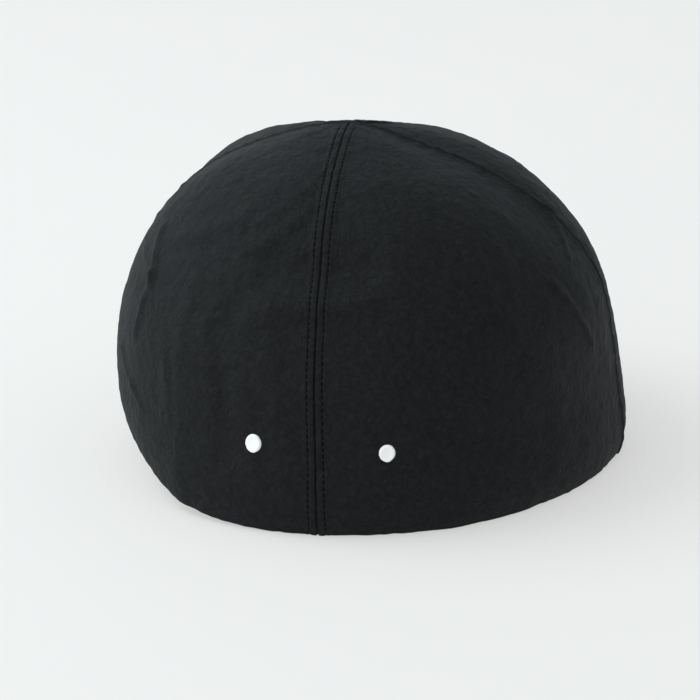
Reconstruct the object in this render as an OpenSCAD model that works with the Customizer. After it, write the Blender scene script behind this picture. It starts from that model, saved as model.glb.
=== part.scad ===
// Bump cap: a four-panel soft cloth cover with a short peak over a hard liner with pads and a sweatband.
// Millimetres. +Z up, the peak points to -Y, the back is +Y, the wearer's left is +X.
// The origin is the centre of the head opening, in the plane of the lower hem.

/* [Crown] */
// Widest outside width of the cloth crown
crown_w = 198; // [180:1:220]
// Outside length of the cloth crown without the peak
crown_l = 228; // [205:1:250]
// Height of the crown top above the hem
crown_h = 133; // [115:1:150]
// Height of the widest point above the hem
bulge_z = 31; // [20:1:45]
// Share of the widest size that the hem narrows to
hem_share = 0.93; // [0.85:0.01:1]
// Roundness of the crown, 2 is an ellipse and more is boxier
crown_round = 2.2; // [1.8:0.05:3]
// Extra roundness that fills out the front of the crown
front_full = 0.4; // [0:0.05:1.5]
// How far the top lies behind the middle of the head opening
apex_back = 17; // [0:1:25]
// How far each panel swells between its seams
panel_puff = 0.8; // [0:0.1:3]
// Thickness of the crown cloth
cloth_t = 1.2; // [0.6:0.1:2.5]
// Open line between two sewn panels
seam_gap = 0.4; // [0.3:0.1:1]

/* [Hem and seams] */
// Height of the facing sewn inside the hem
facing_h = 22; // [12:1:35]
// Thickness of the hem facing
facing_t = 0.7; // [0.4:0.1:1.5]
// Width of the tape that covers each seam inside
tape_w = 10; // [6:1:16]
// Thickness of the seam tape
tape_t = 0.6; // [0.4:0.1:1.2]
// Diameter of each embroidered spot at the back
spot_d = 7.2; // [4:0.2:12]
// Distance of each spot from the back seam
spot_x = 25.5; // [15:0.5:40]
// Height of the spots above the hem
spot_z = 34.5; // [15:0.5:60]

/* [Peak] */
// How far the peak stands out at its middle
peak_out = 52; // [30:1:75]
// Half of the angle of the crown that the peak is sewn to
peak_half = 56; // [35:1:65]
// Bluntness of the peak outline, 1 is an ellipse and less is squarer
peak_blunt = 0.86; // [0.6:0.02:1]
// Height of the arch of the peak where it meets the crown
peak_arch = 13; // [4:1:25]
// Height of the front edge of the peak at its middle
peak_tip = 8; // [2:1:25]
// Thickness of the stiff board inside the peak
board_t = 2; // [1:0.1:3.5]
// Thickness of the peak cloth
peak_cloth_t = 0.8; // [0.5:0.1:1.5]
// Distance of the board from the edge of the peak
board_inset = 3; // [1:0.5:8]

/* [Hard shell] */
// Outside width of the hard shell
shell_w = 178.2; // [160:0.2:195]
// Outside length of the hard shell
shell_l = 205.8; // [185:0.2:225]
// Height of the shell top above the hem plane
shell_h = 127.5; // [110:0.5:140]
// Thickness of the hard shell
shell_t = 2; // [1.2:0.1:3.5]
// Height of the shell rim above the hem plane
shell_rim = 9; // [4:1:25]
// How far the rim rises over each ear
ear_rise = 16; // [0:1:35]
// Width of a vent slot
vent_w = 7; // [4:0.5:12]
// Length of a vent slot
vent_l = 24; // [12:1:40]
// Angle between the two vent slots of a pair
vent_step = 14; // [10:1:20]

/* [Pads and sweatband] */
// Thickness of the foam pads
pad_t = 5; // [3:0.5:10]
// Radius of the round crown pad
crown_pad_r = 46; // [25:1:70]
// Height of the sweatband
band_h = 32; // [20:1:45]
// Thickness of the sweatband cloth
band_cloth_t = 0.6; // [0.4:0.1:1.2]
// Thickness of the foam strip in the sweatband
band_foam_t = 1.3; // [0.8:0.1:4]
// Half of the angle taken up by the elastic at the back
elastic_half = 27; // [15:1:45]
// Diameter of the snap studs that hold the sweatband
stud_d = 6; // [4:0.5:9]

/* [Fastening patches] */
// Width of a hook or loop patch
patch_w = 26; // [15:1:40]
// Thickness of a hook or loop patch
patch_t = 1.6; // [0.8:0.1:2.5]

/* [Hidden] */
cw = crown_w / 2;
cl = crown_l / 2;
sw = shell_w / 2;
sl = shell_l / 2;
lay_gap = 0.5;
pad_gap = 0.8;
band_d = shell_t + 0.3;
band_t = 2 * band_cloth_t + band_foam_t + 0.2;
cloth_c = [0.12, 0.13, 0.14];
tape_c = [0.18, 0.18, 0.20];
white_c = [0.93, 0.93, 0.90];
shell_c = [0.10, 0.11, 0.12];
foam_c = [0.25, 0.26, 0.28];
band_c = [0.16, 0.16, 0.17];
stud_c = [0.22, 0.22, 0.23];

// Roundness of the dome at the plan angle a from the back.
function roundness(a) = crown_round + front_full * pow((1 - cos(a)) / 2, 3);

// Share of the widest size at height z and angle a. The top is at h, and the lower edge narrows to ks.
function share(z, h, ks, a) =
    let (m = roundness(a))
    z < bulge_z
    ? 1 - (1 - ks) * pow((bulge_z - z) / bulge_z, 2)
    : pow(max(0, 1 - pow(min(1, (z - bulge_z) / (h - bulge_z)), m)), 1 / m);

// Height at the step t from the lower edge (0) to the top (1), finer where the dome turns over.
function rise(t, h) =
    t < 0.25
    ? bulge_z * t / 0.25
    : bulge_z + (h - bulge_z) * pow(sin(90 * (t - 0.25) / 0.75), 2 / crown_round);

// Backward lean of the dome at height z.
function lean(z) = apex_back * pow(max(0, z) / crown_h, 3);

// Height of the lower hem of the cloth, raised in an arch above the peak.
function hem_z(a) =
    abs(a - 180) < peak_half ? peak_arch * (1 + cos(180 * abs(a - 180) / peak_half)) / 2 : 0;

// Point on the cloth crown at the plan angle a from the back, height step t, and depth d under the outside.
function cloth_at(a, z, d) =
    let (
        k = share(z, crown_h - d, hem_share, a),
        p = panel_puff * sqrt(abs(sin(2 * a))) * sin(180 * min(1, z / crown_h))
    )
    [(cw - d + p) * k * sin(a), (cl - d + p) * k * cos(a) + lean(z), z];
function crown_at(a, t, d) =
    let (h0 = hem_z(a), h = crown_h - d)
    cloth_at(a, h0 + (1 - h0 / h) * rise(t, h), d);

// Point on the hard shell at the plan angle a, height z, and depth d under the outside.
function shell_at(a, z, d) =
    let (k = share(z, shell_h - d, 1, a))
    [(sw - d) * k * sin(a), (sl - d) * k * cos(a) + lean(z), z];
function shell_rise(a, t, d) = shell_at(a, rise(t, shell_h - d), d);

// Height of the shell's rim, raised over each ear.
function rim_z(a) = shell_rim + ear_rise * pow(abs(sin(a)), 3);

// Closed sheet between two point grids of nu by nv steps. tip closes the last row into one point.
module sheet(top, under, nu, nv, ring = false, tip = false) {
    rows = ring ? nu : nu + 1;
    half = rows * (nv + 1);
    function id(s, i, j) = s * half + ((tip && j == nv) ? 0 : (i % rows)) * (nv + 1) + j;
    quads = concat(
        [for (i = [0:nu - 1]) for (j = [0:nv - 1])
            [id(0, i, j), id(0, i, j + 1), id(0, i + 1, j + 1), id(0, i + 1, j)]],
        [for (i = [0:nu - 1]) for (j = [0:nv - 1])
            [id(1, i, j), id(1, i + 1, j), id(1, i + 1, j + 1), id(1, i, j + 1)]],
        [for (i = [0:nu - 1]) [id(0, i, 0), id(0, i + 1, 0), id(1, i + 1, 0), id(1, i, 0)]],
        tip ? [] : [for (i = [0:nu - 1]) [id(0, i, nv), id(1, i, nv), id(1, i + 1, nv), id(0, i + 1, nv)]],
        ring ? [] : [for (j = [0:nv - 1]) [id(0, 0, j), id(1, 0, j), id(1, 0, j + 1), id(0, 0, j + 1)]],
        ring ? [] : [for (j = [0:nv - 1]) [id(0, nu, j), id(0, nu, j + 1), id(1, nu, j + 1), id(1, nu, j)]]
    );
    tris = [
        for (q = quads)
        for (f = [[q[0], q[1], q[2]], [q[0], q[2], q[3]]])
        if (f[0] != f[1] && f[1] != f[2] && f[2] != f[0]) f
    ];
    polyhedron(points = concat(top, under), faces = tris, convexity = 8);
}

// One quarter of the cloth crown, from the plan angle a0, moved away from its seams by half the seam gap.
module crown_panel(a0) {
    nu = 14;
    nv = 15;
    sx = sign(sin(a0 + 45));
    sy = sign(cos(a0 + 45));
    color(cloth_c)
    translate([sx * seam_gap / 2, sy * seam_gap / 2, 0])
    sheet(
        [for (i = [0:nu]) for (j = [0:nv]) crown_at(a0 + 90 * i / nu, j / nv, 0)],
        [for (i = [0:nu]) for (j = [0:nv]) crown_at(a0 + 90 * i / nu, j / nv, cloth_t)],
        nu, nv, tip = true
    );
}

module panel_back_left() {
    crown_panel(0);
}

module panel_back_right() {
    crown_panel(270);
}

module panel_front_left() {
    crown_panel(90);
}

module panel_front_right() {
    crown_panel(180);
}

// Height at the step t of a tape that starts above the facing at z0 and ends at z1.
function tape_z(t, z0, z1) = z0 + (z1 - z0) * pow(sin(90 * t), 2 / crown_round);

module seam_tape_long() {
    n = 14;
    d0 = cloth_t + lay_gap;
    function at(i, j, d) =
        let (
            u = j / n - 1,
            s = u < 0 ? -1 : 1,
            z = tape_z(1 - abs(u), facing_h + 2 + (u < 0 ? peak_arch : 0), crown_h - d)
        )
        [tape_w * (i - 0.5), s * (cl - d) * share(z, crown_h - d, hem_share, u < 0 ? 180 : 0) + lean(z), z];
    color(tape_c)
    sheet(
        [for (i = [0:1]) for (j = [0:2 * n]) at(i, j, d0)],
        [for (i = [0:1]) for (j = [0:2 * n]) at(i, j, d0 + tape_t)],
        1, 2 * n
    );
}

module side_tape(side) {
    n = 14;
    d0 = cloth_t + lay_gap;
    function at(i, j, d) =
        let (
            h = crown_h - d,
            k = (tape_w / 2 + 0.6) / (cw - d),
            m = roundness(90),
            z1 = bulge_z + (h - bulge_z) * pow(1 - pow(k, m), 1 / m),
            z = tape_z(j / n, facing_h + 2, z1)
        )
        [side * (cw - d) * share(z, h, hem_share, 90), side * tape_w * (0.5 - i) + lean(z), z];
    color(tape_c)
    sheet(
        [for (i = [0:1]) for (j = [0:n]) at(i, j, d0)],
        [for (i = [0:1]) for (j = [0:n]) at(i, j, d0 + tape_t)],
        1, n
    );
}

module seam_tapes_side() {
    side_tape(1);
    side_tape(-1);
}

module hem_facing() {
    nu = 72;
    nv = 3;
    d0 = cloth_t + 0.1 + panel_puff * 0.4;
    function at(i, j, d) =
        let (a = 360 * i / nu)
        cloth_at(a, hem_z(a) + 1 + facing_h * j / nv, d);
    color(tape_c)
    sheet(
        [for (i = [0:nu - 1]) for (j = [0:nv]) at(i, j, d0)],
        [for (i = [0:nu - 1]) for (j = [0:nv]) at(i, j, d0 + facing_t)],
        nu, nv, ring = true
    );
}

// Middle surface of the peak: f runs over its width from -1 to 1 and s from the crown to the edge.
function peak_mid(f, s) =
    let (
        a = 180 + peak_half * f,
        r = cloth_at(a, hem_z(a) + 2.8, -0.9),
        e = cloth_at(180 + peak_half, 2.8, -0.9),
        g = 86 * f,
        ox = -(abs(e[0]) + 5) * sign(g) * pow(abs(sin(g)), peak_blunt),
        oy = e[1] - (cl * hem_share + peak_out + e[1]) * pow(cos(g), peak_blunt),
        oz = 2.8 + (peak_tip - 2.8) * pow(cos(g), 1.5)
    )
    [
        r[0] + (ox - r[0]) * s,
        r[1] + (oy - r[1]) * s,
        r[2] + (oz - r[2]) * s + 1.5 * sin(180 * s) * cos(86 * f)
    ];

// How much of its full height a peak layer keeps near the sewn outer edge.
function peak_edge(s) = s < 0.9 ? 1 : sqrt(max(0, 1 - pow((s - 0.9) / 0.1, 2)));

module peak_layer(z0, z1, s0, s1, w, fold) {
    nu = 34;
    nv = 9;
    function step(j) = s0 + (s1 - s0) * (j == nv ? 1 : 0.97 * j / (nv - 1));
    function at(i, j, z, more) =
        let (s = step(j))
        peak_mid(w * (2 * i / nu - 1), s) + [0, 0, fold ? z * peak_edge(s) + more * s + 0.06 : z];
    sheet(
        [for (i = [0:nu]) for (j = [0:nv]) at(i, j, z1, 0.25)],
        [for (i = [0:nu]) for (j = [0:nv]) at(i, j, z0, 0)],
        nu, nv
    );
}

module peak_board() {
    color(tape_c)
    peak_layer(-board_t / 2, board_t / 2, 0.04, 1 - board_inset / peak_out, 0.93, false);
}

module peak_top_cloth() {
    b = board_t / 2 + 0.35;
    color(cloth_c)
    peak_layer(b, b + peak_cloth_t, 0, 1, 1, true);
}

module peak_under_cloth() {
    b = board_t / 2 + 0.35;
    color(cloth_c)
    peak_layer_down(b, b + peak_cloth_t);
}

module peak_layer_down(z0, z1) {
    nu = 34;
    nv = 9;
    sheet(
        [for (i = [0:nu]) for (j = [0:nv]) let (s = j == nv ? 1 : 0.97 * j / (nv - 1))
            peak_mid(2 * i / nu - 1, s) - [0, 0, z0 * peak_edge(s) + 0.06]],
        [for (i = [0:nu]) for (j = [0:nv]) let (s = j == nv ? 1 : 0.97 * j / (nv - 1))
            peak_mid(2 * i / nu - 1, s) - [0, 0, z1 * peak_edge(s) + 0.25 * s]],
        nu, nv
    );
}

// Round embroidered spot with a raised ring, standing on the cloth and facing outwards.
module spot(side) {
    a = side * asin(spot_x / (cw * share(spot_z, crown_h, hem_share, 0)));
    p = cloth_at(a < 0 ? a + 360 : a, spot_z, -0.15);
    q = cloth_at(a < 0 ? a + 360 : a, spot_z + 1, -0.15);
    turn = atan2(p[0] / (cw * cw), p[1] / (cl * cl));
    lean = atan2(norm([q[0], q[1]]) - norm([p[0], p[1]]), 1);
    translate(p)
    rotate([0, 0, -turn])
    rotate([-90 - lean, 0, 0])
    rotate_extrude($fn = 40)
    polygon([
        [0, 0], [spot_d / 2 - 0.2, 0], [spot_d / 2, 0.2], [spot_d / 2, 0.6], [spot_d / 2 - 0.3, 0.95],
        [spot_d / 2 - 0.8, 0.95], [spot_d / 2 - 1.3, 0.7], [0, 0.65]
    ]);
}

module back_spots() {
    color(white_c) {
        spot(1);
        spot(-1);
    }
}

// Square patch on the inside of one panel, in the middle of its top.
module loop_patch(a0) {
    n = 4;
    da = patch_w / (0.6 * cw) * 57.3 / 2;
    function at(i, j, d) = crown_at(a0 - da + 2 * da * i / n, 0.66 + 0.12 * j / n, d);
    color(tape_c)
    sheet(
        [for (i = [0:n]) for (j = [0:n]) at(i, j, cloth_t + lay_gap)],
        [for (i = [0:n]) for (j = [0:n]) at(i, j, cloth_t + lay_gap + patch_t)],
        n, n
    );
}

module loop_patches() {
    for (a = [45:90:315]) loop_patch(a);
}

// Square patch on the outside of the shell, under the loop patch.
module hook_patch(a0) {
    n = 4;
    da = patch_w / (0.6 * cw) * 57.3 / 2;
    function at(i, j, d) = shell_rise(a0 - da + 2 * da * i / n, 0.66 + 0.12 * j / n, d);
    color(tape_c)
    sheet(
        [for (i = [0:n]) for (j = [0:n]) at(i, j, -0.15 - patch_t)],
        [for (i = [0:n]) for (j = [0:n]) at(i, j, -0.15)],
        n, n
    );
}

module hook_patches() {
    for (a = [45:90:315]) hook_patch(a);
}

module slot(len, w) {
    union() {
        translate([len / 2 - w / 2, 0, 0])
        cylinder(h = 60, d = w, $fn = 32);
        translate([w / 2 - len / 2, 0, 0])
        cylinder(h = 60, d = w, $fn = 32);
        translate([w / 2 - len / 2, -w / 2, 0])
        cube([len - w, w, 60]);
    }
}

module shell() {
    nu = 48;
    nv = 15;
    function at(i, j, d) =
        let (a = 360 * i / nu, h = shell_h - d, h0 = rim_z(a))
        shell_at(a, h0 + (1 - h0 / h) * rise(j / nv, h), d);
    color(shell_c)
    difference() {
        sheet(
            [for (i = [0:nu - 1]) for (j = [0:nv]) at(i, j, 0)],
            [for (i = [0:nu - 1]) for (j = [0:nv]) at(i, j, shell_t)],
            nu, nv, ring = true, tip = true
        );
        // vents, in pairs between the pads
        for (a = [45:90:315], m = [-1, 1])
        rotate([0, 0, a + m * vent_step / 2])
        rotate([62, 0, 0])
        translate([0, 0, 70])
        rotate([0, 0, 90])
        slot(vent_l, vent_w);
    }
}

module shell_pad(a0, a1, t0, t1, nu, nv) {
    function at(i, j, d) = shell_rise(a0 + (a1 - a0) * i / nu, t0 + (t1 - t0) * j / nv, d);
    color(foam_c)
    sheet(
        [for (i = [0:nu]) for (j = [0:nv]) at(i, j, shell_t + pad_gap)],
        [for (i = [0:nu]) for (j = [0:nv]) at(i, j, shell_t + pad_gap + pad_t)],
        nu, nv
    );
}

module pad_crown() {
    nu = 36;
    nv = 5;
    h = shell_h - shell_t - pad_gap;
    function pt(i, j, d) =
        let (
            a = 360 * i / nu,
            k = (crown_pad_r + 5 * cos(4 * a)) * (1 - j / nv) / sw,
            m = roundness(a),
            z = bulge_z + (h - d - bulge_z) * pow(1 - pow(k, m), 1 / m)
        )
        shell_at(a, z, shell_t + pad_gap + d);
    color(foam_c)
    sheet(
        [for (i = [0:nu - 1]) for (j = [0:nv]) pt(i, j, 0)],
        [for (i = [0:nu - 1]) for (j = [0:nv]) pt(i, j, pad_t)],
        nu, nv, ring = true, tip = true
    );
}

module pad_front() {
    shell_pad(155, 205, 0.3, 0.6, 14, 6);
}

module pad_back() {
    shell_pad(-25, 25, 0.3, 0.6, 14, 6);
}

module pad_left() {
    shell_pad(66, 114, 0.32, 0.6, 14, 6);
}

module pad_right() {
    shell_pad(246, 294, 0.32, 0.6, 14, 6);
}

// Point of the sweatband at depth d inside the shell wall and height z.
function band_at(a, d, z) = [(sw - band_d - d) * sin(a), (sl - band_d - d) * cos(a), z];

module sweatband_cloth() {
    nu = 46;
    a0 = elastic_half;
    c = band_cloth_t;
    t = band_t;
    out = [[0, band_h - 8], [0, 12], [0, 1.2], [0.35, 0], [t - 0.35, 0], [t, 1.2], [t, 12], [t, band_h]];
    inn = [
        [c, band_h - 8], [c, 12], [c, 1.4], [c + 0.05, c],
        [t - c - 0.05, c], [t - c, 1.4], [t - c, 12], [t - c, band_h]
    ];
    nv = len(out) - 1;
    color(band_c)
    sheet(
        [for (i = [0:nu]) for (j = [0:nv]) band_at(a0 + (360 - 2 * a0) * i / nu, inn[j][0], inn[j][1])],
        [for (i = [0:nu]) for (j = [0:nv]) band_at(a0 + (360 - 2 * a0) * i / nu, out[j][0], out[j][1])],
        nu, nv
    );
}

module sweatband_foam() {
    nu = 46;
    a0 = elastic_half + 1;
    function at(i, j, d) = band_at(a0 + (360 - 2 * a0) * i / nu, d, 2 + (band_h - 11) * j);
    color(foam_c)
    sheet(
        [for (i = [0:nu]) for (j = [0:1]) at(i, j, band_cloth_t + 0.1)],
        [for (i = [0:nu]) for (j = [0:1]) at(i, j, band_cloth_t + 0.1 + band_foam_t)],
        nu, 1
    );
}

module sweatband_elastic() {
    nu = 48;
    a0 = elastic_half - 0.1;
    nv = 4;
    function wave(i) = 0.45 * cos(180 * i);
    function at(i, j, d) = band_at(-a0 + 2 * a0 * i / nu, d + wave(i), (band_h - 4) * j / nv);
    color(band_c)
    sheet(
        [for (i = [0:nu]) for (j = [0:nv]) at(i, j, 0.5)],
        [for (i = [0:nu]) for (j = [0:nv]) at(i, j, 1.7)],
        nu, nv
    );
}

// Snap stud on the shell wall, behind the free top of the sweatband.
module stud(a) {
    z = band_h - 3.2;
    p = band_at(a, 0, z);
    turn = atan2(p[0] / (sw * sw), p[1] / (sl * sl));
    translate(p)
    rotate([0, 0, -turn])
    rotate([90, 0, 0])
    translate([0, 0, 0.3])
    cylinder(h = band_t - band_cloth_t - 0.5, d = stud_d, $fn = 36);
}

module sweatband_studs() {
    color(stud_c)
    for (a = [40:56:320]) stud(a);
}

panel_back_left();
panel_back_right();
panel_front_left();
panel_front_right();
seam_tape_long();
seam_tapes_side();
hem_facing();
peak_board();
peak_top_cloth();
peak_under_cloth();
back_spots();
loop_patches();
shell();
pad_crown();
pad_front();
pad_back();
pad_left();
pad_right();
sweatband_cloth();
sweatband_foam();
sweatband_elastic();
sweatband_studs();
hook_patches();
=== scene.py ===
import math

import bmesh
import bpy
import numpy as np
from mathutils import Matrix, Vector, noise


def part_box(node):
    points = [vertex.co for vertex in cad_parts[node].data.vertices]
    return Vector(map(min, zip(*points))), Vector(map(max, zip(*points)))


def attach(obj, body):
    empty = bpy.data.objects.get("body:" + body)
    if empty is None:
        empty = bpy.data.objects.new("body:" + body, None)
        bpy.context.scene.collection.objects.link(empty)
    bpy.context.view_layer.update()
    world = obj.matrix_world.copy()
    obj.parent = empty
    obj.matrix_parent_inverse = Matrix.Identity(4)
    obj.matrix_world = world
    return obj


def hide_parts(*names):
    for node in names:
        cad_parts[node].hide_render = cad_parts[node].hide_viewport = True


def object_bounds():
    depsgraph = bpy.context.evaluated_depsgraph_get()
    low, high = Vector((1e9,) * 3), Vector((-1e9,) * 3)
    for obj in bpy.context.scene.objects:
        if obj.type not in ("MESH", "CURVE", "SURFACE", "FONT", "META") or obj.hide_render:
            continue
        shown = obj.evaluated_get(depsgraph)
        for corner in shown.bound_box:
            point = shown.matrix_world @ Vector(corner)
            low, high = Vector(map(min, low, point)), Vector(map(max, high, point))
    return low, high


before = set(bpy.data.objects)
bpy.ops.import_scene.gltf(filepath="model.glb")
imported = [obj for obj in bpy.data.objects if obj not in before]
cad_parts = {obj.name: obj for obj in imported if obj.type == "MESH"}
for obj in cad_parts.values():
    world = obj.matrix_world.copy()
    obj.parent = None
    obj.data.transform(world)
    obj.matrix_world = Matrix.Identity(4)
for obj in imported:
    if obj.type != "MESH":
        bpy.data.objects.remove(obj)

# Bump cap seen from behind. Shapes are worked out in millimetres, in the CAD frame:
# +Z up, the peak points to -Y, and the plan angle a is 0 at the back and 90 at +X.
MM = 0.001
cad_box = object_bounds()


def corners(node):
    low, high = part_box(node)
    return np.array(low) / MM, np.array(high) / MM


# ---------------- sizes from the frame
panel_high = corners("panel_back_left")[1]
shell_high = corners("shell")[1]
peak_low = corners("peak_top_cloth")[0]
facing_high = corners("hem_facing")[1]
band_high = corners("sweatband_cloth")[1]
CROWN_H = panel_high[2]
HALF_W = panel_high[0] - 0.15
HALF_L = panel_high[1] - 0.4
SHELL_H = shell_high[2]
SHELL_HALF_W = shell_high[0]
SHELL_HALF_L = shell_high[1] - 0.4
BAND_H = band_high[2]

# Form of the crown, as in the CAD model
BULGE_Z = 31
HEM_SHARE = 0.93
CROWN_ROUND = 2.2
FRONT_FULL = 0.4
APEX_BACK = 17
PANEL_PUFF = 0.8
PEAK_HALF = 56
PEAK_ARCH = 13
PEAK_TIP = 8
PEAK_BLUNT = 0.86
PEAK_OUT = -peak_low[1] - HALF_L * HEM_SHARE
CLOTH_T = 1.2
SHELL_T = 2
PAD_GAP = 0.8
PAD_T = 5
BAND_D = SHELL_T + 0.3
BAND_T = 2.7
ELASTIC_HALF = 27

# ---------------- how this cap has settled
# How one cap slumps. A fit to its outline, outside this script, made 18 rows of SETTLED and most of the
# single values here. The ends of 16 rows of FOLDS were placed from points of the photograph. A script
# should hold no such table: a rule with values chosen by hand has to replace them.
SIDE_LEAN = 3.1
TOP_FORWARD = 4.8
SEAM_DRIFT = 1.2
SEAM_DRIFT_ANGLE = 30
SEAM_DRIFT_HEIGHT = 48
APEX_LIFT = 3.4
APEX_REACH = 0.23
BUMP_ANGLE = 24
BUMP_HEIGHT = 24
CALM_TOP = 0.2
# Places where the soft crown stands away from its even form: plan angle, height, outward
SETTLED = (
    (-105, 0, 12.0),
    (-105, 38, 4.5),
    (-105, 76, 2.9),
    (-105, 108, 1.9),
    (-75, 0, 6.4),
    (-75, 76, 2.9),
    (-75, 108, -1.5),
    (-90, 126, -2.4),
    (-40, 0, 4.6),
    (-5, 0, 4.1),
    (-5, 76, -2.1),
    (-5, 108, -3.0),
    (30, 0, 7.0),
    (45, 40, -0.5),
    (65, 0, -3.8),
    (65, 108, 2.4),
    (100, 36, -1.5),
    (100, 76, -0.7),
    (100, 108, -2.9),
    (130, 108, 4.8),
    (150, 122, -4.6),
    (180, 116, -5.9),
)
# Places where the hem is off the table: plan angle, height
HEM_LIFTS = ((62, 15.5), (-100, 0.5))
HEM_LIFT_ANGLE = 24.5
# Soft folds: from (angle, height) to (angle, height), half width, height, valley beside it
FOLDS = (
    (14, 99, -13, 100, 6.5, -2.3, 0.0),
    (15, 86, -13, 88, 3.8, 1.4, 0.0),
    (19, 80, 4, 84, 2.6, 0.5, 0.5),
    (23, 84, 20, 26, 5.0, -0.7, 0.0),
    (36, 90, 33, 6, 4.0, 0.5, 0.0),
    (12, 84, 7, 18, 4.0, 0.5, 0.0),
    (61, 100, 53, 86, 1.7, 0.9, 0.15),
    (53, 86, 54.5, 61, 1.7, 1.0, 0.15),
    (70, 92, 54, 85, 1.6, 0.6, 0.1),
    (54, 85, 50, 77, 1.5, 0.5, 0.1),
    (65, 51, 49, 35, 1.8, 0.6, 0.1),
    (40, 58, 37, 36, 2.0, 0.4, 0.5),
    (29, 77, 24.5, 80, 1.4, 0.4, 0.5),
    (26, 76, 21, 46, 3.4, -0.7, 0.0),
    (-92, 105, -79, 88, 1.7, 0.7, 0.2),
    (-66, 84, -75, 56, 2.1, 0.8, 0.2),
    (-55, 96, -48, 70, 3.2, 0.4, 0.6),
    (-26, 46, -54, 16, 4.5, -0.6, 0.3),
    (-50, 74, -60, 40, 6.0, 0.4, 0.4),
    (30, 112, 50, 100, 3.0, 0.5, 0.6),
    (9, 124, 24, 112, 2.2, 0.35, 0.8),
    (8, 117, 20, 104, 2.2, 0.35, 0.8),
    (150, 70, 130, 40, 5.0, 0.7, 0.4),
    (-150, 74, -128, 44, 5.0, 0.7, 0.4),
    (168, 96, 190, 98, 6.0, -0.8, 0.0),
)
STITCH_OFFSET = 2.9
STITCH_PITCH = 2.5


# ---------------- surfaces, in millimetres
def sind(a):
    return np.sin(np.radians(a))


def cosd(a):
    return np.cos(np.radians(a))


def turn_of(a):
    """Plan angle from -180 to 180."""
    return (a + 180) % 360 - 180


def roundness(a):
    """Exponent of the dome's side view, fuller towards the front."""
    return CROWN_ROUND + FRONT_FULL * ((1 - cosd(a)) / 2) ** 3


def share(z, a, top, low):
    """Share of its widest outline that the dome has at height z."""
    m = roundness(a)
    under = 1 - (1 - low) * ((BULGE_Z - z) / BULGE_Z) ** 2
    over = np.maximum(0, 1 - np.clip((z - BULGE_Z) / (top - BULGE_Z), 0, 1) ** m) ** (1 / m)
    return np.where(z < BULGE_Z, under, over)


def rise(t, top):
    t = np.asarray(t, float)
    dome = np.clip((t - 0.25) / 0.75, 0, 1)
    over = BULGE_Z + (top - BULGE_Z) * np.sin(dome * math.pi / 2) ** (2 / CROWN_ROUND)
    return np.where(t < 0.25, BULGE_Z * t / 0.25, over)


def lean(z):
    return APEX_BACK * (np.maximum(0, z) / CROWN_H) ** 3


def hem_z(a):
    d = np.abs(turn_of(a - 180))
    arch = np.where(d < PEAK_HALF, PEAK_ARCH * (1 + np.cos(math.pi * d / PEAK_HALF)) / 2, 0)
    return arch + sum(by * np.exp(-((turn_of(a - a0) / HEM_LIFT_ANGLE) ** 2)) for a0, by in HEM_LIFTS)


def settled(a, z):
    out = 0
    for a0, z0, by in SETTLED:
        out = out + by * np.exp(-((turn_of(a - a0) / BUMP_ANGLE) ** 2) - ((z - z0) / BUMP_HEIGHT) ** 2)
    return out


def crown(a, z, loose=1.0):
    """Smooth outer surface of the crown at plan angle a and height z."""
    a, z = np.broadcast_arrays(np.asarray(a, float), np.asarray(z, float))
    k = share(z, a, CROWN_H, HEM_SHARE)
    puff = PANEL_PUFF * np.sqrt(np.abs(sind(2 * a))) * np.sin(math.pi * np.clip(z / CROWN_H, 0, 1))
    by = loose * settled(a, z) * (1 - np.exp(-((k / CALM_TOP) ** 2)))
    high = np.clip((z - BULGE_Z) / (CROWN_H - BULGE_Z), 0, 1) ** 2
    nx, ny = sind(a) / HALF_W, cosd(a) / HALF_L
    flat = np.sqrt(1 - 0.9 * high**2) / np.hypot(nx, ny)
    near_top = (np.maximum(0, z) / CROWN_H) ** 3
    x = (HALF_W + puff) * k * sind(a) + by * nx * flat + loose * SIDE_LEAN * near_top
    y = (HALF_L + puff) * k * cosd(a) + by * ny * flat + lean(z) - loose * TOP_FORWARD * near_top
    near_seam = np.exp(-((turn_of(a) / SEAM_DRIFT_ANGLE) ** 2) - (z / SEAM_DRIFT_HEIGHT) ** 4)
    x = x - loose * SEAM_DRIFT * near_seam
    return np.stack([x, y, z + 0.95 * by * high + loose * APEX_LIFT * np.exp(-((k / APEX_REACH) ** 2))], -1)


def from_seams(a, z):
    """Distance from the long seam and from the side seams."""
    k = share(z, a, CROWN_H, HEM_SHARE)
    return np.abs(HALF_W * k * sind(a)), np.abs(HALF_L * k * cosd(a))


def normals(surface, a, z, top):
    """Outward normals of a dome surface, by small steps along and up it."""
    a, z = np.broadcast_arrays(np.asarray(a, float), np.asarray(z, float))
    z = np.minimum(z, top - 0.05)
    across = surface(a + 0.2, z) - surface(a - 0.2, z)
    step = np.minimum(0.5, (top - z) / 2)
    up = surface(a, z + step) - surface(a, z - step)
    n = np.cross(up, across)
    return n / np.maximum(np.linalg.norm(n, axis=-1, keepdims=True), 1e-9)


def folds(a, z):
    out = np.zeros(np.broadcast(a, z).shape)
    round_mm = math.radians(1) * HALF_W * share(z, a, CROWN_H, HEM_SHARE)
    for a0, z0, a1, z1, half, height, valley in FOLDS:
        px, pz = turn_of(a - a0) * round_mm, z - z0
        qx, qz = turn_of(a1 - a0) * round_mm, z1 - z0
        length = np.hypot(qx, qz)
        along = np.clip((px * qx + pz * qz) / length**2, 0, 1)
        dx, dz = px - along * qx, pz - along * qz
        side = np.where(px * qz >= pz * qx, 1, -1) * np.hypot(dx, dz)
        out += height * np.exp(-((side / half) ** 2))
        out -= height * valley * np.exp(-(((side - 1.8 * half) / half) ** 2))
    return out


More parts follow.
